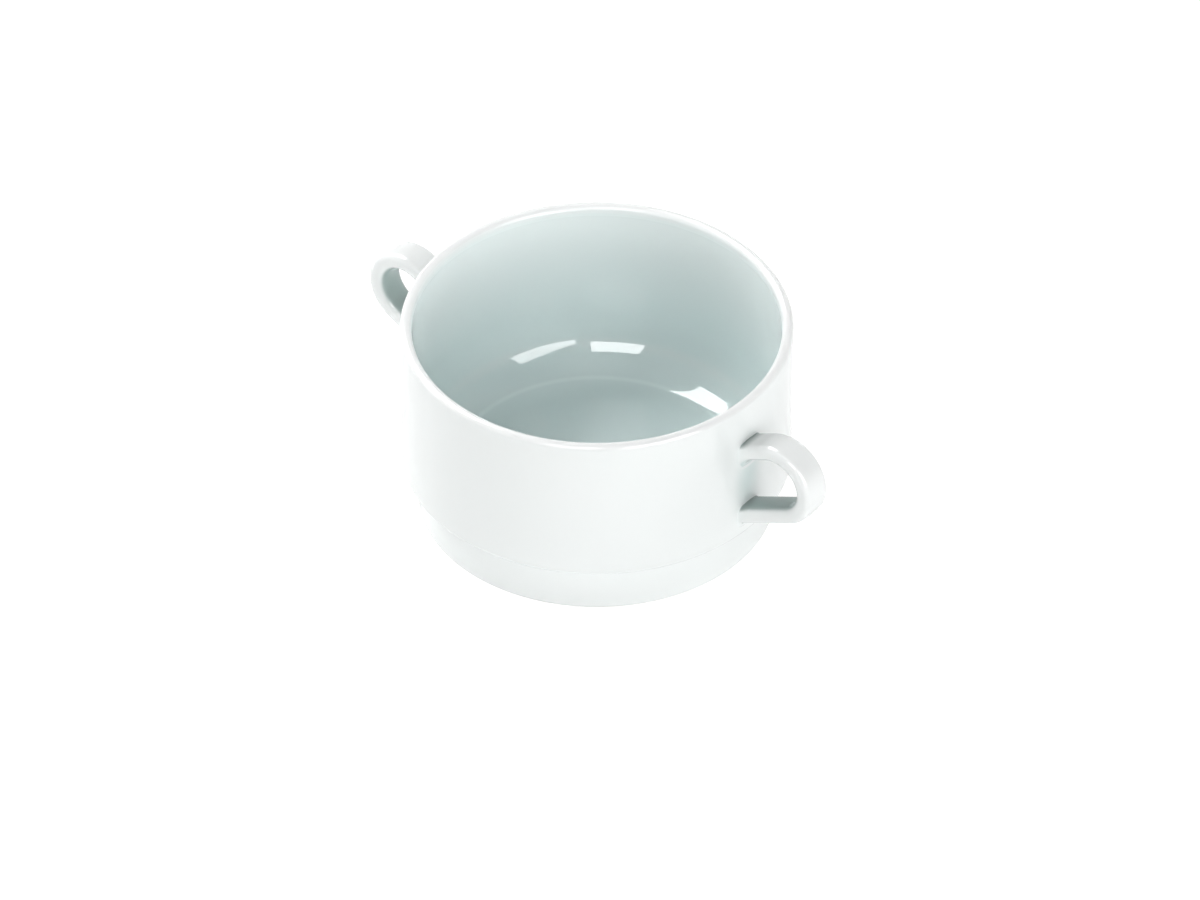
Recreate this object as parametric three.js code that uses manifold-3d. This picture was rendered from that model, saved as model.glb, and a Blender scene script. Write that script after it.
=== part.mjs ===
// Stackable two-handled soup bowl in white glazed porcelain.
// The bowl is one turned body with a stacking step and a foot ring. Each strap handle is cast
// separately and luted to the wall with a pad of slip at its upper and its lower root.
// Millimetres, +Z up. The origin is on the axis, in the plane that the foot ring stands on.
// The handles lie along +X and -X.

import * as THREE from "three";
import { mergeVertices } from "three/addons/utils/BufferGeometryUtils.js";
import Module from "manifold-3d";

// Bowl, outside
const height = 58.5;
const rimRadius = 52;
const wallTaper = 0.2;
const stackHeight = 14.7;
const stackStep = 4.3;
const stackEdgeRadius = 1.2;
const stackFilletRadius = 2;
const lipThickness = 3;

// Foot ring and the recess inside it
const footEdgeRadius = 1;
const footWidth = 3.6;
const footRecess = 2.4;
const footFilletRadius = 1.2;

// Bowl, inside: a drafted wall, then a wide cove that turns it into the flat floor
const innerDraft = 0.2;
const floorThickness = 5.5;
const coveBend = 16.3;

// Handle: a strap bent into a hairpin loop that rises away from the wall
const handleRise = THREE.MathUtils.degToRad(27);
const loopReach = 11.7;
const loopAboveStep = 23.8;
const loopInnerRadius = 6.9;
const strapThickness = 5.1;
const strapWidth = 8.6;
const strapEdgeRadius = 1.7;
const rootFlareRadius = 4.5;

// Luted joints
const slipThickness = 0.7;
const slipBead = 0.6;
const seatGap = 0.3;

// Smoothness of the round forms
const turnSegments = 80;
const profileArcDivisions = 2;
const coveArcCount = 3;
const loopArcDivisions = 8;
const strapEdgeSegments = 4;

// Sizes that follow from the ones above
const stackRadius = rimRadius - wallTaper;
const baseRadius = stackRadius - stackStep;
const lipRadius = lipThickness / 2;
const lipCentreHeight = height - lipRadius;
const floorHeight = footRecess + floorThickness;
const coveRadius = rimRadius - lipThickness - innerDraft;
const loopOuterRadius = loopInnerRadius + strapThickness;
const loopCentreRadius = stackRadius + loopReach;
const loopCentreHeight = stackHeight + loopAboveStep;

const wasm = await Module();
wasm.setup();

const glaze = new THREE.MeshStandardMaterial({ color: 0xeef3f1, roughness: 0.15, metalness: 0 });
const slip = new THREE.MeshStandardMaterial({ color: 0xe8edea, roughness: 0.22, metalness: 0 });

// A closed three.js geometry as a solid that can be cut and joined.
function toSolid(geometry) {
  const bare = geometry.clone();
  bare.deleteAttribute("normal");
  bare.deleteAttribute("uv");
  const welded = mergeVertices(bare);
  const corners = welded.index.array;
  const triangles = [];
  for (let i = 0; i < corners.length; i += 3) {
    const [a, b, c] = corners.slice(i, i + 3);
    if (a !== b && b !== c && c !== a) {
      triangles.push(a, b, c);
    }
  }
  const mesh = new wasm.Mesh({
    numProp: 3,
    vertProperties: new Float32Array(welded.attributes.position.array),
    triVerts: new Uint32Array(triangles),
  });
  return new wasm.Manifold(mesh);
}

// A cut or joined solid back as a three.js geometry.
function toGeometry(solid) {
  const mesh = solid.getMesh();
  const geometry = new THREE.BufferGeometry();
  geometry.setAttribute("position", new THREE.BufferAttribute(mesh.vertProperties, 3));
  geometry.setIndex(new THREE.BufferAttribute(mesh.triVerts, 1));
  geometry.computeVertexNormals();
  return geometry;
}

function named(name, geometry, material) {
  const mesh = new THREE.Mesh(geometry, material);
  mesh.name = name;
  return mesh;
}

// Turn a profile of radius and height about the vertical axis.
function turned(profile) {
  const geometry = new THREE.LatheGeometry(profile.getPoints(profileArcDivisions), turnSegments);
  return geometry.rotateX(Math.PI / 2);
}

// The bowl's half section, from the axis under the floor, round the outside, to the axis inside.
function bowlProfile() {
  const right = Math.PI / 2;
  const profile = new THREE.Path();
  const footOuter = baseRadius - footEdgeRadius;
  const footInner = footOuter - footWidth;
  profile.moveTo(0, footRecess);
  const recessRadius = footInner - footFilletRadius;
  profile.lineTo(recessRadius, footRecess);
  profile.absarc(recessRadius, footRecess - footFilletRadius, footFilletRadius, right, 0, true);
  profile.lineTo(footInner, 0);
  profile.absarc(footOuter, footEdgeRadius, footEdgeRadius, -right, 0, false);

  const filletRadius = baseRadius + stackFilletRadius;
  const filletHeight = stackHeight - stackFilletRadius;
  profile.absarc(filletRadius, filletHeight, stackFilletRadius, 2 * right, right, true);
  const edgeRadius = stackRadius - stackEdgeRadius;
  const edgeHeight = stackHeight + stackEdgeRadius;
  profile.absarc(edgeRadius, edgeHeight, stackEdgeRadius, -right, 0, false);

  const lipCentre = rimRadius - lipRadius;
  profile.absarc(lipCentre, lipCentreHeight, lipRadius, 0, right, false);
  profile.absarc(lipCentre, lipCentreHeight, lipRadius, right, 2 * right, false);

  // The cove is the widest round of the profile, so it is drawn as several arcs end to end.
  const coveCentreRadius = coveRadius - coveBend;
  const coveCentreHeight = floorHeight + coveBend;
  for (let arc = 0; arc < coveArcCount; arc += 1) {
    const start = -right * arc / coveArcCount;
    const end = -right * (arc + 1) / coveArcCount;
    profile.absarc(coveCentreRadius, coveCentreHeight, coveBend, start, end, true);
  }
  profile.lineTo(0, floorHeight);
  return profile;
}

// Everything inside the bowl's outer wall, taken out by an even offset from that wall.
function wallBlank(offset) {
  const profile = new THREE.Path();
  profile.moveTo(0, stackHeight);
  profile.lineTo(stackRadius + offset, stackHeight);
  profile.lineTo(rimRadius + offset, height);
  profile.lineTo(0, height);
  return toSolid(turned(profile));
}

// The handle's side outline of radius and height, widened all round by a margin. Both legs run on
// into the wall, which cuts them off.
function handleOutline(margin) {
  const outer = loopOuterRadius + margin;
  const inner = loopInnerRadius - margin;
  const flare = rootFlareRadius - margin;
  const up = handleRise + Math.PI / 2;
  const down = handleRise - Math.PI / 2;
  const rootRadius = stackRadius - 2 * strapEdgeRadius - slipThickness;
  const legHeight = (radius, side) =>
    loopCentreHeight + side / Math.cos(handleRise) + (radius - loopCentreRadius) * Math.tan(handleRise);

  // Under the upper leg the strap flares down to meet the wall in a round.
  const flareCentreRadius = stackRadius + rootFlareRadius;
  const flareCentreHeight = legHeight(flareCentreRadius, loopInnerRadius - rootFlareRadius);

  const outline = new THREE.Shape();
  outline.moveTo(rootRadius, flareCentreHeight);
  outline.lineTo(rootRadius, legHeight(rootRadius, outer));
  outline.absarc(loopCentreRadius, loopCentreHeight, outer, up, down, true);
  outline.lineTo(rootRadius, legHeight(rootRadius, -outer));
  outline.lineTo(rootRadius, legHeight(rootRadius, -inner));
  outline.absarc(loopCentreRadius, loopCentreHeight, inner, down, up, false);
  outline.absarc(flareCentreRadius, flareCentreHeight, flare, up, Math.PI, false);
  return outline;
}

// The strap's full loop with its long edges rounded, before the wall cuts it.
function strapLoop(margin) {
  const width = strapWidth + 2 * margin;
  const depth = width - 2 * strapEdgeRadius;
  const geometry = new THREE.ExtrudeGeometry(handleOutline(margin), {
    depth,
    curveSegments: loopArcDivisions,
    bevelEnabled: true,
    bevelThickness: strapEdgeRadius,
    bevelSize: strapEdgeRadius,
    bevelOffset: -strapEdgeRadius,
    bevelSegments: strapEdgeSegments,
  });
  geometry.translate(0, 0, -depth / 2);
  return toSolid(geometry.rotateX(Math.PI / 2));
}

// The half of the space above or below the loop's centre, used to part the two pads of slip.
function halfSpace(sign) {
  const size = 2 * (height + loopCentreRadius + loopOuterRadius);
  const geometry = new THREE.BoxGeometry(size, size, size);
  const wallHeight = loopCentreHeight - loopReach * Math.tan(handleRise);
  return toSolid(geometry.translate(0, 0, wallHeight + sign * size / 2));
}

// One handle with its two pads of slip, lying along +X of the returned group.
function handleSet(side) {
  const slipInside = wallBlank(seatGap);
  const slipOutside = wallBlank(seatGap + slipThickness);
  const handleSeat = wallBlank(2 * seatGap + slipThickness);
  const pads = strapLoop(slipBead).intersect(slipOutside).subtract(slipInside);
  const set = new THREE.Group();
  set.add(named(`handle_${side}`, toGeometry(strapLoop(0).subtract(handleSeat)), glaze));
  set.add(named(`slip_joint_${side}_upper`, toGeometry(pads.intersect(halfSpace(1))), slip));
  set.add(named(`slip_joint_${side}_lower`, toGeometry(pads.intersect(halfSpace(-1))), slip));
  return set;
}

const soupBowl = new THREE.Group();
soupBowl.add(named("bowl_body", turned(bowlProfile()), glaze));

const rightHandle = handleSet("right");
soupBowl.add(rightHandle);

const leftHandle = handleSet("left");
leftHandle.rotation.z = Math.PI;
soupBowl.add(leftHandle);

export default soupBowl;
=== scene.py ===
import math

import bmesh
import bpy
from mathutils import Matrix, Vector


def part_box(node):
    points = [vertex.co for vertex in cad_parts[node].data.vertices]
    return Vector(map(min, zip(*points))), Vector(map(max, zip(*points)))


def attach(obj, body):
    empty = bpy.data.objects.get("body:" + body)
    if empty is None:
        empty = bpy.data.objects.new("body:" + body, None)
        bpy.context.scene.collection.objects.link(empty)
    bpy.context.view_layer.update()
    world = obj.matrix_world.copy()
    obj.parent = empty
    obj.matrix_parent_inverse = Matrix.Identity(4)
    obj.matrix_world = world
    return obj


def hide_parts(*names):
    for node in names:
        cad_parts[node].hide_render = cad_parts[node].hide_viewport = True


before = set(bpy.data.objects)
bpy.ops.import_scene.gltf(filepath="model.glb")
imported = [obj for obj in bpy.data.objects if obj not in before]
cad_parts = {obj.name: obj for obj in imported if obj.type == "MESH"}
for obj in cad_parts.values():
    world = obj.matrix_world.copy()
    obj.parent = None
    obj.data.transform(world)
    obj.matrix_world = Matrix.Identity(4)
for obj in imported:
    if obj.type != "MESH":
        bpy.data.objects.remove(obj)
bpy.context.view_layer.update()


# The bowl: one body of white porcelain, turned in a plaster mould and trimmed when leather hard.
# Its straight wall stands on a stacking step and a foot ring. A clear glaze covers all but the
# bottom of the foot ring, which is wiped bare so that it doesn't stick in the kiln.

mm = 0.001
bowl_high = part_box("bowl_body")[1]
rim_radius = bowl_high.x
bowl_height = bowl_high.z
wall_taper = 0.2 * mm
step_radius = rim_radius - wall_taper
step_height = 14.7 * mm
step_edge = 1.2 * mm
step_fillet = 2 * mm
step_depth = 4.3 * mm
base_radius = step_radius - step_depth
lip_thickness = 3 * mm
lip_round = lip_thickness / 2
lip_height = bowl_height - lip_round

foot_edge = 1 * mm
foot_width = 3.6 * mm
foot_outer = base_radius - foot_edge
foot_inner = foot_outer - foot_width
foot_recess = 2.4 * mm
foot_fillet = 1.2 * mm

inner_draft = 0.2 * mm
floor_thickness = 5.5 * mm
floor_level = foot_recess + floor_thickness
lip_inside = rim_radius - lip_thickness
cove_radius = lip_inside - inner_draft
cove_bend = 16.3 * mm

section_pitch = 1.2 * mm
arc_step = 3
least_arc_steps = 4
turn_count = 240
weld_distance = 0.0005 * mm


def run_to(section, radius, height):
    """Add a straight run to a half section, in short steps so that the shading stays even."""
    last_radius, last_height = section[-1]
    length = math.hypot(radius - last_radius, height - last_height)
    steps = max(1, math.ceil(length / section_pitch))
    for step in range(1, steps + 1):
        share = step / steps
        section.append((
            last_radius + (radius - last_radius) * share,
            last_height + (height - last_height) * share,
        ))


def bend_to(section, centre_radius, centre_height, bend, start, end):
    """Add an arc to a half section, from one angle to another in degrees, with a run up to it."""
    steps = max(least_arc_steps, math.ceil(abs(end - start) / arc_step))
    for step in range(steps + 1):
        angle = math.radians(start + (end - start) * step / steps)
        point = (
            centre_radius + bend * math.cos(angle),
            centre_height + bend * math.sin(angle),
        )
        if step == 0:
            run_to(section, *point)
        else:
            section.append(point)


def bowl_section():
    """The bowl's half section, from the axis under the floor, round the outside, to the axis inside."""
    section = [(0, foot_recess)]
    bend_to(section, foot_inner - foot_fillet, foot_recess - foot_fillet, foot_fillet, 90, 0)
    run_to(section, foot_inner, 0)
    bend_to(section, foot_outer, foot_edge, foot_edge, -90, 0)
    bend_to(section, base_radius + step_fillet, step_height - step_fillet, step_fillet, 180, 90)
    bend_to(section, step_radius - step_edge, step_height + step_edge, step_edge, -90, 0)
    bend_to(section, rim_radius - lip_round, lip_height, lip_round, 0, 90)
    bend_to(section, lip_inside + lip_round, lip_height, lip_round, 90, 180)
    bend_to(section, cove_radius - cove_bend, floor_level + cove_bend, cove_bend, 0, -90)
    run_to(section, 0, floor_level)
    return section


def turned_mesh(section):
    """Turn a half section about the upright axis. Its two ends lie on the axis."""
    mesh = bmesh.new()
    rings = []
    for radius, height in section:
        ring = []
        for turn in range(turn_count):
            angle = 2 * math.pi * turn / turn_count
            ring.append(mesh.verts.new((radius * math.cos(angle), radius * math.sin(angle), height)))
        rings.append(ring)
    for lower, upper in zip(rings, rings[1:]):
        for turn in range(turn_count):
            after = (turn + 1) % turn_count
            mesh.faces.new((lower[turn], lower[after], upper[after], upper[turn]))
    return mesh


def finished_piece(name, mesh, material):
    """Turn a bmesh into a smooth piece of the object, with its faces pointing out."""
    bmesh.ops.remove_doubles(mesh, verts=mesh.verts, dist=weld_distance)
    bmesh.ops.recalc_face_normals(mesh, faces=mesh.faces)
    data = bpy.data.meshes.new(name)
    mesh.to_mesh(data)
    mesh.free()
    data.shade_smooth()
    data.materials.append(material)
    piece = bpy.data.objects.new(name, data)
    bpy.context.scene.collection.objects.link(piece)
    return piece


porcelain_white = (0.872, 0.900, 0.893, 1)
porcelain_cool = (0.856, 0.888, 0.882, 1)
# Darker tints that paint shade: inside the bowl, in its corners, and at the handles' roots and joints.
shade_glaze = (0.820, 0.867, 0.861, 1)
deep_shade_glaze = (0.752, 0.852, 0.847, 1)
# A paler tint: it paints light on the lip and round the loops, and makes the handles a little paler all
# over.
pale_lit_glaze = (0.955, 0.972, 0.968, 1)
# A paler tint that paints the lip's reflection as a ring on the floor.
lip_reflection_tint = (0.850, 0.950, 0.940, 1)
# A darker tint that paints the shade under the handles, on the wall and on the flare.
gap_shade = (0.680, 0.775, 0.765, 1)
bare_porcelain = (0.780, 0.765, 0.730, 1)
iron_speck = (0.520, 0.500, 0.450, 1)


def set_socket(material, socket, value):
    """Set a shader node's socket, from a value or another node's output."""
    if isinstance(value, bpy.types.NodeSocket):
        material.node_tree.links.new(value, socket)
    else:
        socket.default_value = value


def add_node(material, kind, values=(), **sockets):
    """Add a shader node, with its sockets set in order or by name. None leaves a socket alone."""
    node = material.node_tree.nodes.new(kind)
    settings = list(enumerate(values))
    settings += [(name.replace("_", " "), value) for name, value in sockets.items()]
    for place, value in settings:
        if value is not None:
            set_socket(material, node.inputs[place], value)
    return node


def calculate(material, operation, *values):
    """The result of one step of arithmetic in a material."""
    node = add_node(material, "ShaderNodeMath", values)
    node.operation = operation
    return node.outputs[0]


def ease(material, value, low, high, at_low=0.0, at_high=1.0):
    """A soft step from one level to another as a value passes from low to high."""
    node = add_node(material, "ShaderNodeMapRange", (value, low, high, at_low, at_high))
    node.interpolation_type = "SMOOTHSTEP"
    return node.outputs[0]


def mix_colour(material, share, first, second):
    """Two colours mixed by a share."""
    node = material.node_tree.nodes.new("ShaderNodeMix")
    node.data_type = "RGBA"
    colour_sockets = [socket for socket in node.inputs if socket.type == "RGBA"]
    for socket, value in zip((node.inputs[0], *colour_sockets), (share, first, second)):
        set_socket(material, socket, value)
    return next(socket for socket in node.outputs if socket.type == "RGBA")


class GlazedPorcelain:
    """White porcelain under a clear glaze: faint clouds of colour, rare specks and a slow ripple."""

    refraction = 1.5
    cloud_scale = 38
    speck_scale = 70
    speck_core = 0.004
    speck_edge = 0.012
    speck_rarity = 0.9
    speck_strength = 0.35
    noise_span = (0.3, 0.7)
    gloss_scale = 120
    gloss_range = (0.008, 0.016)
    ripple_scale = 55
    ripple_height = 0.012 * mm
    peel_scale = 700
    peel_height = 0.0004 * mm
    facing_up = (0.3, 0.8)
    facing_side = (0.5, 0.95)

    def __init__(self, name):
        self.material = bpy.data.materials.new(name)
        self.material.use_nodes = True
        self.shader = self.material.node_tree.nodes["Principled BSDF"]
        self.shader.inputs["IOR"].default_value = self.refraction
        self.place = add_node(self.material, "ShaderNodeTexCoord").outputs["Object"]
        self.parts = add_node(self.material, "ShaderNodeSeparateXYZ", (self.place,)).outputs

        cloud = self.noise(self.cloud_scale, 2)
        self.colour = mix_colour(self.material, cloud, porcelain_white, porcelain_cool)
        cells = add_node(self.material, "ShaderNodeTexVoronoi", Vector=self.place, Scale=self.speck_scale)
        draw = add_node(self.material, "ShaderNodeSeparateColor", (cells.outputs["Color"],)).outputs[0]
        chosen = self.calculate("GREATER_THAN", draw, self.speck_rarity)
        near = self.ease(cells.outputs["Distance"], self.speck_core, self.speck_edge, 1.0, 0.0)
        self.tint(self.product(chosen, near, self.speck_strength), iron_speck)

        self.gloss = self.ease(self.noise(self.gloss_scale, 3), *self.noise_span, *self.gloss_range)
        self.normal = None
        for scale, detail, height in (
            (self.ripple_scale, 1, self.ripple_height),
            (self.peel_scale, 2, self.peel_height),
        ):
            bump = add_node(
                self.material, "ShaderNodeBump",
                Strength=1, Distance=height, Height=self.noise(scale, detail), Normal=self.normal,
            )
            self.normal = bump.outputs[0]

    def calculate(self, operation, *values):
        """The result of one step of arithmetic in the glaze."""
        return calculate(self.material, operation, *values)

    def ease(self, value, low, high, at_low=0.0, at_high=1.0):
        """A soft step from one level to another as a value passes from low to high."""
        return ease(self.material, value, low, high, at_low, at_high)

    def product(self, first, *others):
        """Several shares multiplied together."""
        for other in others:
            first = self.calculate("MULTIPLY", first, other)
        return first

    def rest_of(self, share):
        """What a share leaves of the whole."""
        return self.calculate("SUBTRACT", 1.0, share)

    def band(self, value, middle, reach):
        """A soft band that is 1 where a value is at the middle and 0 beyond the reach."""
        off = self.calculate("ABSOLUTE", self.calculate("SUBTRACT", value, middle))
        return self.ease(off, 0, reach, 1.0, 0.0)

    def noise(self, scale, detail):
        """A cloudy value from 0 to 1, with a scale in cycles a metre."""
        node = add_node(self.material, "ShaderNodeTexNoise", Vector=self.place, Scale=scale, Detail=detail)
        return node.outputs[0]

    def length(self, *parts):
        """The length of a line with these parts."""
        line = add_node(self.material, "ShaderNodeCombineXYZ", parts)
        node = add_node(self.material, "ShaderNodeVectorMath", (line.outputs[0],))
        node.operation = "LENGTH"
        return node.outputs["Value"]

    def axis_distance(self):
        """The distance from the bowl's upright axis."""
        return self.length(self.parts["X"], self.parts["Y"])

    def facing(self, axis):
        """The part of the surface's direction that lies along an axis."""
        direction = add_node(self.material, "ShaderNodeNewGeometry").outputs["Normal"]
        return add_node(self.material, "ShaderNodeSeparateXYZ", (direction,)).outputs[axis]

    def upward(self):
        """The share by which the surface faces up."""
        return self.ease(self.facing("Z"), *self.facing_up)

    def sideways(self):
        """The share by which the surface faces across the handles."""
        return self.ease(self.calculate("ABSOLUTE", self.facing("Y")), *self.facing_side)

    def tint(self, share, colour):
        """Lay a colour over what is there."""
        self.colour = mix_colour(self.material, share, self.colour, colour)

    def finished(self):
        """Join the colour, the gloss and the ripple to the shader."""
        for name, value in (("Base Color", self.colour), ("Roughness", self.gloss), ("Normal", self.normal)):
            set_socket(self.material, self.shader.inputs[name], value)
        return self.material


# Where the glaze changes on the bowl, and how strongly.
glaze_fade = 2.5 * mm
base_skin = 1.2 * mm
wall_skin = 1 * mm
# Where the painted reflection ring lies on the floor, and how strong it is.
floor_ring = 38.2 * mm
floor_ring_reach = 1 * mm
floor_ring_rise = 2 * mm
floor_ring_fade = 1 * mm
floor_ring_strength = 0.65
between_roots = 34 * mm
between_roots_reach = 13 * mm
between_roots_width = 6.5 * mm
# The painted shade in the step's corner.
step_shade = 2 * mm
step_shade_strength = 0.35
lip_light_start = 1.2 * mm
lip_light_full = 0.3 * mm
soft_below_lip = 9 * mm
soft_gloss = 0.3
wipe_scale = 260
wipe_least = 0.25 * mm
wipe_wander = 0.5 * mm
wipe_edge = 0.1 * mm
grain_scale = 2400
grain_gloss = (0.5, 0.75)


def bowl_glaze():
    """The bowl's glaze: painted shade inside and in its corners, painted light on its lip, a painted
    reflection on its floor, and wiped off its foot ring.
    """
    glaze = GlazedPorcelain("bowl_glaze")
    level = glaze.parts["Z"]
    away = glaze.axis_distance()

    # Painted shade: inside the bowl the glaze is tinted darker, deepening from the lip to the floor.
    above_foot = glaze.ease(level, foot_recess, floor_level)
    above_step = glaze.ease(level, step_height, step_height + step_edge)
    below_lip = glaze.ease(level, bowl_height - glaze_fade, lip_height, 1.0, 0.0)
    within = glaze.ease(away, lip_inside, lip_inside + lip_round, 1.0, 0.0)
    in_base = glaze.ease(away, base_radius - base_skin, base_radius - base_skin / 2, 1.0, 0.0)
    in_wall = glaze.calculate("MAXIMUM", in_base, above_step)
    inner_shade = glaze.product(in_wall, within, above_foot, below_lip)
    glaze.tint(inner_shade, shade_glaze)
    depth = glaze.ease(level, floor_level, bowl_height - glaze_fade, 1.0, 0.0)
    glaze.tint(glaze.product(inner_shade, depth), deep_shade_glaze)

    # A painted reflection of the lip: a faint pale ring round the edge of the floor.
    ring_top = floor_level + floor_ring_rise
    on_floor = glaze.ease(level, ring_top, ring_top + floor_ring_fade, 1.0, 0.0)
    ring = glaze.band(away, floor_ring, floor_ring_reach)
    glaze.tint(glaze.product(ring, on_floor, above_foot, floor_ring_strength), lip_reflection_tint)

    # Painted shade outside: the wall between the roots of each handle and the corner of the step are tinted
    # darker.
    outside = glaze.ease(away, step_radius - wall_skin, step_radius - wall_skin / 2)
    gap = glaze.band(level, between_roots, between_roots_reach)
    beside = glaze.band(glaze.parts["Y"], 0, between_roots_width)
    glaze.tint(glaze.product(gap, outside, beside), gap_shade)
    # Painted shade in the corner under the step.
    step_corner = glaze.band(level, step_height, step_shade)
    glaze.tint(glaze.product(step_corner, step_shade_strength), shade_glaze)

    # Painted light: the lip is tinted paler, and the wall just inside it is a little less glossy.
    glaze.tint(glaze.ease(level, bowl_height - lip_light_start, bowl_height - lip_light_full), pale_lit_glaze)
    soft = glaze.ease(level, bowl_height - soft_below_lip, bowl_height - lip_round, 0.0, soft_gloss)
    glaze.gloss = glaze.calculate("MAXIMUM", glaze.gloss, glaze.product(soft, within))

    # The bottom of the foot ring is bare up to an uneven wipe line.
    wipe_line = glaze.calculate("MULTIPLY_ADD", glaze.noise(wipe_scale, 2), wipe_wander, wipe_least)
    above_wipe = glaze.calculate("SUBTRACT", level, wipe_line)
    bare = glaze.ease(above_wipe, -wipe_edge, wipe_edge, 1.0, 0.0)
    glaze.tint(bare, bare_porcelain)
    grain = glaze.ease(glaze.noise(grain_scale, 3), *glaze.noise_span, *grain_gloss)
    dull = add_node(glaze.material, "ShaderNodeMix", (bare, None, glaze.gloss, grain))
    glaze.gloss = dull.outputs[0]
    return glaze.finished()


bowl = finished_piece("bowl", turned_mesh(bowl_section()), bowl_glaze())
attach(bowl, "root")
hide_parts("bowl_body")


# The two handles: straps of porcelain, each cast in a two-part mould as one hairpin loop.
# The loop rises away from the wall, and its two legs are cut to the wall's curve. They are
# luted on opposite sides of the bowl while the clay is damp, and glazed with it.

handle_rise = math.radians(27)
loop_reach = 11.7 * mm
loop_above_step = 23.8 * mm
loop_centre = Vector((step_radius + loop_reach, 0, step_height + loop_above_step))
loop_inner = 6.9 * mm
strap_thickness = 5.1 * mm
loop_outer = loop_inner + strap_thickness
loop_radius = loop_inner + strap_thickness / 2
strap_width = 8.6 * mm
outer_edge = 1.6 * mm
inner_edge = 2.1 * mm
strap_crown = 0.15 * mm
root_flare = 7 * mm
root_depth = 0.8 * mm

leg_pitch = 0.6 * mm
face_pitch = 0.9 * mm
loop_step = 4
edge_steps = 7
longest_leg = 30 * mm
halvings = 30

leg_way = Vector((math.cos(handle_rise), 0, math.sin(handle_rise)))
leg_out = Vector((-math.sin(handle_rise), 0, math.cos(handle_rise)))
strap_across = Vector((0, 1, 0))
flare_start = (root_flare - loop_reach + (loop_inner - root_flare) * leg_way.z) / leg_way.x


def strap_section():
    """The strap's section: each point's outward and sideways place, its normal, and its share of the inside.

    The inner edges are sponged a little rounder than the outer ones, and both broad faces are crowned.
    """
    corners = [(1, 1, outer_edge), (-1, 1, inner_edge), (-1, -1, inner_edge), (1, -1, outer_edge)]
    rounds = []
    for place, (out_sign, side_sign, edge) in enumerate(corners):
        middle_out = out_sign * (strap_thickness / 2 - strap_crown - edge)
        middle_side = side_sign * (strap_width / 2 - edge)
        share = 0 if out_sign > 0 else 1
        arc = []
        for step in range(edge_steps + 1):
            angle = math.radians(90 * (place + step / edge_steps))
            normal = (math.cos(angle), math.sin(angle))
            arc.append((middle_out + edge * normal[0], middle_side + edge * normal[1], *normal, share))
        rounds.append(arc)
    section = []
    for place, arc in enumerate(rounds):
        section += arc
        start = arc[-1]
        end = rounds[(place + 1) % len(rounds)][0]
        flat_steps = max(2, round(math.dist(start[:2], end[:2]) / face_pitch))
        for step in range(1, flat_steps):
            portion = step / flat_steps
            out, side, normal_out, normal_side, share = (a + (b - a) * portion for a, b in zip(start, end))
            out += strap_crown * math.sin(math.pi * portion) * round(normal_out)
            section.append((out, side, normal_out, normal_side, share))
    return section


def wall_radius(height):
    """The radius of the bowl's outer wall at a height."""
    low = step_height + step_edge
    return step_radius + wall_taper * (height - low) / (lip_height - low)


def outside_wall(point):
    """How far a point lies outside the bowl's wall."""
    return math.hypot(point.x, point.y) - wall_radius(point.z)


def flare_depth(leg_side, along):
    """How far the upper leg's inner face is let down near its root, in a round that ends along the wall."""
    if leg_side < 0:
        return 0
    reach = min(max(flare_start - along, 0), root_flare * leg_way.x)
    return root_flare - math.sqrt(root_flare ** 2 - reach ** 2)


def leg_point(leg_side, along, entry):
    """A point of the section at a place along the upper leg, for a side of 1, or the lower, for -1."""
    out, side, _, _, share = entry
    outward = leg_out * leg_side
    middle = loop_centre + outward * loop_radius + leg_way * along
    return middle + outward * (out - share * flare_depth(leg_side, along)) + strap_across * side


def meet_wall(leg_side, entry):
    """The place along a leg at which a point of its section meets the bowl's wall."""
    near = -longest_leg
    far = 0
    for _ in range(halvings):
        middle = (near + far) / 2
        if outside_wall(leg_point(leg_side, middle, entry)) > 0:
            far = middle
        else:
            near = middle
    return far


def leg_rings(leg_side, section):
    """Rings of points from a root, cut to the wall and sunk in it, to the end of the straight leg."""
    roots = [meet_wall(leg_side, entry) - root_depth for entry in section]
    steps = math.ceil(-min(roots) / leg_pitch)
    rings = []
    for step in range(steps):
        left = 1 - step / steps
        rings.append([leg_point(leg_side, root * left, entry) for root, entry in zip(roots, section)])
    return rings


def handle_mesh():
    """One handle along +X: the strap's section carried round the hairpin, closed at both roots."""
    section = strap_section()
    places = leg_rings(1, section)
    turns = 180 // loop_step
    for turn in range(turns + 1):
        angle = math.radians(turn * loop_step)
        outward = leg_out * math.cos(angle) + leg_way * math.sin(angle)
        middle = loop_centre + outward * loop_radius
        places.append([middle + outward * entry[0] + strap_across * entry[1] for entry in section])
    places += reversed(leg_rings(-1, section))

    mesh = bmesh.new()
    rings = [[mesh.verts.new(point) for point in ring] for ring in places]
    count = len(section)
    for first, second in zip(rings, rings[1:]):
        for place in range(count):
            after = (place + 1) % count
            mesh.faces.new((first[place], first[after], second[after], second[place]))
    mesh.faces.new(rings[0])
    mesh.faces.new(rings[-1])
    return mesh


# Dark tints that paint the shade inside the loops and in the creases above the roots.
loop_shade = (0.330, 0.408, 0.395, 1)
crease_shade_colour = (0.300, 0.355, 0.345, 1)
strap_thinness = 0.25
outer_light = 0.4
root_shade = 0.4
root_shade_reach = 5 * mm
crease_shade = 0.9
crease_reach = 3.5 * mm
under_root_start = 1 * mm
under_root_end = 4 * mm
facing_down = (-0.85, -0.6)


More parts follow.
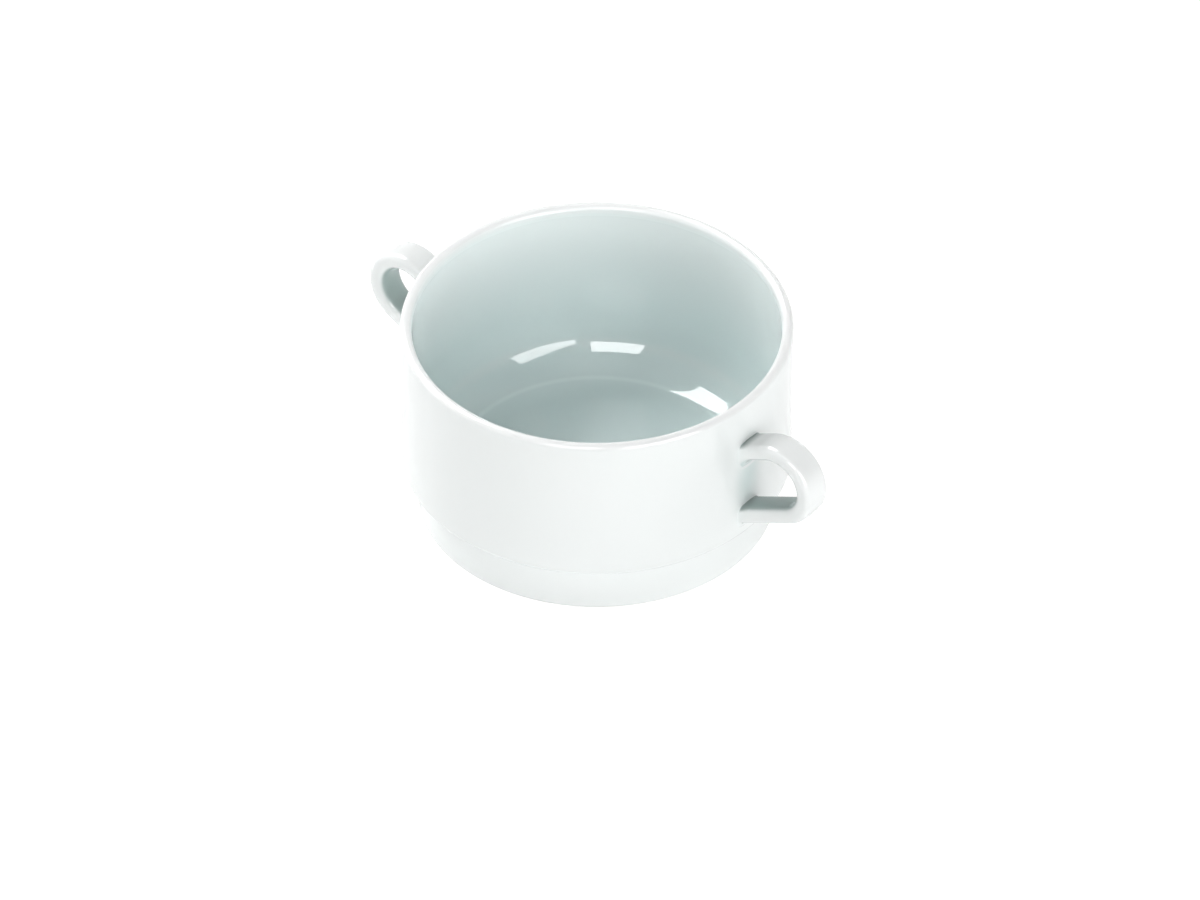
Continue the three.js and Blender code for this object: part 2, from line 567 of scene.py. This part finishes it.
def handle_glaze():
    """The handles' glaze: a little paler all over, with painted shade at the roots, inside the loops and in
    the creases, and painted light round the outside of the loops.
    """
    glaze = GlazedPorcelain("handle_glaze")
    away = glaze.axis_distance()
    glaze.tint(strap_thinness, pale_lit_glaze)
    # Painted shade: the strap is tinted darker near its roots.
    root = glaze.ease(away, rim_radius, rim_radius + root_shade_reach, root_shade, 0.0)
    glaze.tint(root, shade_glaze)

    # The distance from the hairpin's middle line, which is the same for both handles.
    beyond = glaze.calculate("SUBTRACT", glaze.calculate("ABSOLUTE", glaze.parts["X"]), loop_centre.x)
    above = glaze.calculate("SUBTRACT", glaze.parts["Z"], loop_centre.z)
    along = glaze.calculate("MULTIPLY_ADD", beyond, leg_way.x, glaze.product(above, leg_way.z))
    out = glaze.calculate("MULTIPLY_ADD", beyond, leg_out.x, glaze.product(above, leg_out.z))
    reach = glaze.length(glaze.calculate("MAXIMUM", along, 0.0), out)

    # Painted shade inside the loop: dark on the broad face, but not where that faces down.
    # On the flare under the upper root the painted shade is paler.
    inside = glaze.ease(reach, loop_inner, loop_inner + inner_edge, 1.0, 0.0)
    broad = glaze.rest_of(glaze.sideways())
    past_root = glaze.ease(away, rim_radius + under_root_start, rim_radius + under_root_end)
    clear = glaze.calculate("MAXIMUM", past_root, glaze.upward())
    not_under = glaze.ease(glaze.facing("Z"), *facing_down)
    glaze.tint(glaze.product(inside, broad, clear, not_under), loop_shade)
    glaze.tint(glaze.product(inside, broad, glaze.rest_of(clear)), gap_shade)

    # Painted light round the outside of the loop, tinted paler, and painted shade in the creases above the
    # roots.
    glaze.tint(glaze.ease(reach, loop_outer - outer_edge, loop_outer, 0.0, outer_light), pale_lit_glaze)
    # Painted shade in the crease above each root, where it faces up.
    crease = glaze.ease(away, rim_radius, rim_radius + crease_reach, crease_shade, 0.0)
    glaze.tint(glaze.product(crease, glaze.upward()), crease_shade_colour)
    return glaze.finished()


sides = {"right": Matrix.Identity(4), "left": Matrix.Rotation(math.pi, 4, "Z")}
strap_glaze = handle_glaze()
for side, turn in sides.items():
    mesh = handle_mesh()
    mesh.transform(turn)
    handle = finished_piece(f"strap_handle_{side}", mesh, strap_glaze)
    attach(handle, "root")
    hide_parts(f"handle_{side}")


# The four luted joints: porcelain slip brushed on each root, which squeezes out as the handle
# is pressed to the wall. It is wiped to a small fillet all round the root, fuller under the lower
# ones, and it fires to one body with the strap and the wall under the glaze.

fillet_tight = 0.6 * mm
fillet_wide = 1.7 * mm
fillet_sink = 0.015 * mm
fillet_core = 0.5 * mm
fillet_steps = 8


def joint_mesh(leg_side):
    """The fillet round one root along +X: the upper root for a side of 1, the lower for -1."""
    mesh = bmesh.new()
    outward = leg_out * leg_side
    columns = []
    for entry in strap_section():
        strap_normal = outward * entry[2] + strap_across * entry[3]
        root = meet_wall(leg_side, entry)
        corner = leg_point(leg_side, root, entry)
        wall_normal = Vector((corner.x, corner.y, 0)).normalized()
        openness = max(0, -strap_normal.dot(leg_out)) if leg_side < 0 else 0
        size = fillet_tight + (fillet_wide - fillet_tight) * openness ** 2
        along_wall = (strap_normal - wall_normal * strap_normal.dot(wall_normal)).normalized()
        on_wall = corner + along_wall * size
        on_wall -= wall_normal * outside_wall(on_wall)
        on_strap = leg_point(leg_side, root + size, entry)
        start = on_strap - strap_normal * fillet_sink
        end = on_wall - wall_normal * fillet_sink
        column = []
        for step in range(fillet_steps + 1):
            share = step / fillet_steps
            point = start.lerp(corner, share).lerp(corner.lerp(end, share), share)
            column.append(mesh.verts.new(point))
        column.append(mesh.verts.new(corner - (strap_normal + wall_normal) * fillet_core))
        columns.append(column)
    for place, column in enumerate(columns):
        after = columns[(place + 1) % len(columns)]
        for row in range(len(column)):
            above = (row + 1) % len(column)
            mesh.faces.new((column[row], after[row], after[above], column[above]))
    return mesh


# Painted shade on the joints' fillets.
fillet_shade = 0.55
fillet_crease_shade = 0.95


def joint_glaze():
    """The joints' glaze, tinted darker as painted shade in the hollow of the fillet, and darker still where
    it faces up.
    """
    glaze = GlazedPorcelain("joint_glaze")
    glaze.tint(fillet_shade, shade_glaze)
    glaze.tint(glaze.product(glaze.upward(), fillet_crease_shade), crease_shade_colour)
    return glaze.finished()


fillet_glaze = joint_glaze()
for side, turn in sides.items():
    for root, leg_side in (("upper", 1), ("lower", -1)):
        mesh = joint_mesh(leg_side)
        mesh.transform(turn)
        joint = finished_piece(f"luted_joint_{side}_{root}", mesh, fillet_glaze)
        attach(joint, "root")
        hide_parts(f"slip_joint_{side}_{root}")


# The table: a plain sweep of white board that the bowl stands on. It is lit from within as well
# as by the lamps, so that it shows as white, with the bowl's faint shadow on it.

table_size = 24
table_white = (0.9, 0.9, 0.9, 1)
table_glow = 0.93
table_shadow = (0.2, 0.2, 0.2, 1)


def seen_ray(material):
    """1 where a surface is seen, straight or in a reflection, and 0 where it only lights others."""
    path = add_node(material, "ShaderNodeLightPath").outputs
    seen = calculate(material, "MAXIMUM", path["Is Camera Ray"], path["Is Glossy Ray"])
    return calculate(material, "MAXIMUM", seen, path["Is Transmission Ray"])


table_mesh = bmesh.new()
bmesh.ops.create_grid(table_mesh, x_segments=1, y_segments=1, size=table_size / 2)
table_data = bpy.data.meshes.new("table")
table_mesh.to_mesh(table_data)
table_mesh.free()
table = bpy.data.objects.new("table", table_data)
bpy.context.scene.collection.objects.link(table)

table_paint = bpy.data.materials.new("table_paint")
table_paint.use_nodes = True
table_paint.node_tree.nodes.clear()
lit = add_node(table_paint, "ShaderNodeBsdfDiffuse", Color=table_white)
shadowed = add_node(table_paint, "ShaderNodeBsdfDiffuse", Color=table_shadow)
glow = add_node(table_paint, "ShaderNodeEmission", Strength=table_glow)
shown = add_node(table_paint, "ShaderNodeAddShader", (shadowed.outputs[0], glow.outputs[0]))
either = add_node(
    table_paint, "ShaderNodeMixShader",
    (seen_ray(table_paint), lit.outputs[0], shown.outputs[0]),
)
add_node(table_paint, "ShaderNodeOutputMaterial", Surface=either.outputs[0])
table_data.materials.append(table_paint)


# The camera: a very long lens far from the bowl, so that the bowl's upright lines stay parallel.
# It looks down from in front, with one handle on the near right and the other on the far left.
# The middle of the rim falls on a given pixel of the picture.

view_turn = math.radians(39.4)
view_rise = math.radians(39.27)
view_distance = 6
view_nearest = 0.1
view_farthest = 40
sensor_width = 36
lens_length = 681.66
frame_width = 1200
frame_height = 900
rim_pixel = (596.85, 323.1)

right = Vector((math.cos(view_turn), math.sin(view_turn), 0))
front = Vector((math.sin(view_turn), -math.cos(view_turn), 0))
up = Vector((0, 0, 1))
sight = -front * math.cos(view_rise) - up * math.sin(view_rise)
sight_up = -front * math.sin(view_rise) + up * math.cos(view_rise)

camera_data = bpy.data.cameras.new("camera")
camera_data.sensor_fit = "HORIZONTAL"
camera_data.sensor_width = sensor_width
camera_data.lens = lens_length
camera_data.clip_start = view_nearest
camera_data.clip_end = view_farthest
camera = bpy.data.objects.new("camera", camera_data)
bpy.context.scene.collection.objects.link(camera)
pixel_size = view_distance * sensor_width / lens_length / frame_width
rim_right = (rim_pixel[0] - frame_width / 2) * pixel_size
rim_up = (frame_height / 2 - rim_pixel[1]) * pixel_size
rim_centre = up * bowl_height
camera.location = rim_centre - sight * view_distance - right * rim_right - sight_up * rim_up
camera.rotation_mode = "QUATERNION"
camera.rotation_quaternion = sight.to_track_quat("-Z", "Y")
bpy.context.scene.camera = camera


# The softboxes: flat panels of white cloth, two in front and one high behind on the left, which
# show as three bright patches in the glaze. A soft fill in front and pale cards at the right and
# behind only light the bowl.

gloss_distance = 4
light_distance = 1.2
watts_per_square_metre = 4
cove_centre = up * (floor_level + cove_bend / 4)


def hang_panel(place, turn, rise, roll, sideways, upward, gloss_level=0, light_level=0):
    """Hang a panel that faces the bowl squarely from a turn sideways of the camera and a rise, in degrees.

    It is rolled in its own plane. Its reach sideways and upward from the line to the bowl is a share
    of its distance. It has one level in the gloss and another in the light that it throws, and a
    level of 0 leaves that one out.
    """
    turn = math.radians(turn)
    rise = math.radians(rise)
    roll = math.radians(roll)
    level_way = front * math.cos(turn) + right * math.sin(turn)
    level_side = right * math.cos(turn) - front * math.sin(turn)
    facing = level_way * math.cos(rise) + up * math.sin(rise)
    steep = up * math.cos(rise) - level_way * math.sin(rise)
    panel_side = level_side * math.cos(roll) + steep * math.sin(roll)
    panel_up = steep * math.cos(roll) - level_side * math.sin(roll)
    way = facing + panel_side * sum(sideways) / 2 + panel_up * sum(upward) / 2
    uses = (("gloss", gloss_level, gloss_distance), ("light", light_level, light_distance))
    for use, level, distance in uses:
        if level == 0:
            continue
        lamp_data = bpy.data.lights.new(f"softbox_{place}_{use}", "AREA")
        lamp_data.shape = "RECTANGLE"
        lamp_data.size = (sideways[1] - sideways[0]) * distance
        lamp_data.size_y = (upward[1] - upward[0]) * distance
        lamp_data.energy = level * watts_per_square_metre * lamp_data.size * lamp_data.size_y
        lamp = bpy.data.objects.new(lamp_data.name, lamp_data)
        lamp.location = cove_centre + way * distance
        lamp.rotation_mode = "QUATERNION"
        lamp.rotation_quaternion = Matrix((panel_side, panel_up, facing)).transposed().to_quaternion()
        lamp.visible_camera = False
        lamp.visible_diffuse = use == "light"
        lamp.visible_glossy = use == "gloss"
        bpy.context.scene.collection.objects.link(lamp)


hang_panel("front_right", 63, 0, 0, (-1.19, -0.12), (0.1, 0.98), gloss_level=7, light_level=2.15)
hang_panel("front_left", -4.5, 0, 0, (-0.49, 0.15), (0.57, 1.13), gloss_level=9)
hang_panel("front_fill", -4.5, 0, 0, (-0.53, 0.15), (0.1, 1.07), light_level=1.5)
hang_panel("back_left", -120, 51, -29, (-0.47, 0.28), (-0.41, 0.19), gloss_level=10, light_level=3.5)
hang_panel("right_card", 82, 12, 0, (-0.42, 0.42), (-0.18, 0.18), light_level=0.85)
hang_panel("back_left_card", -127, 17, 0, (-0.42, 0.42), (-0.23, 0.23), light_level=1.0)
hang_panel("back_right_card", 128, 17, 0, (-0.42, 0.42), (-0.23, 0.23), light_level=1.4)
hang_panel("high_card", -125, 36, 0, (-0.4, 0.4), (-0.14, 0.14), light_level=2.4)


# The room: in reflections it is white, but for a dark side on the right above the horizon. The
# light that it throws on the bowl comes from the horizon. Each stop of a sky is the sine of a
# height and a level, and the white begins and is full at a share of the way behind or to the left.

room_white = (1.0, 1.0, 1.0, 1)
dark_side = [(0.0, 1.0), (0.08, 1.0), (0.25, 0.15), (1.0, 0.15)]
room_light = [(0.0, 1.05), (0.12, 1.05), (0.25, 0.04), (1.0, 0.04)]
white_behind = (0.0, 0.2)
white_on_left = (-0.4, -0.05)

room = bpy.data.worlds.new("room")
room.use_nodes = True
bpy.context.scene.world = room
sky_way = add_node(room, "ShaderNodeTexCoord").outputs["Generated"]
sky_rise = add_node(room, "ShaderNodeSeparateXYZ", (sky_way,)).outputs["Z"]


def sky_levels(stops):
    """The room's level at each height."""
    sky = add_node(room, "ShaderNodeValToRGB", (sky_rise,))
    while len(sky.color_ramp.elements) < len(stops):
        sky.color_ramp.elements.new(1.0)
    for element, (rise, level) in zip(sky.color_ramp.elements, stops):
        element.position = rise
        element.color = (level, level, level, 1)
    return sky.outputs[0]


white_shares = []
for way, (start, full) in ((-front, white_behind), (-right, white_on_left)):
    toward = add_node(room, "ShaderNodeVectorMath", (sky_way, way))
    toward.operation = "DOT_PRODUCT"
    white_shares.append(ease(room, toward.outputs["Value"], start, full))
white_share = calculate(room, "MAXIMUM", *white_shares)
shown_sky = mix_colour(room, white_share, sky_levels(dark_side), room_white)
sky_colour = mix_colour(room, seen_ray(room), sky_levels(room_light), shown_sky)
set_socket(room, room.node_tree.nodes["Background"].inputs["Color"], sky_colour)

bpy.context.scene.view_settings.view_transform = "Standard"
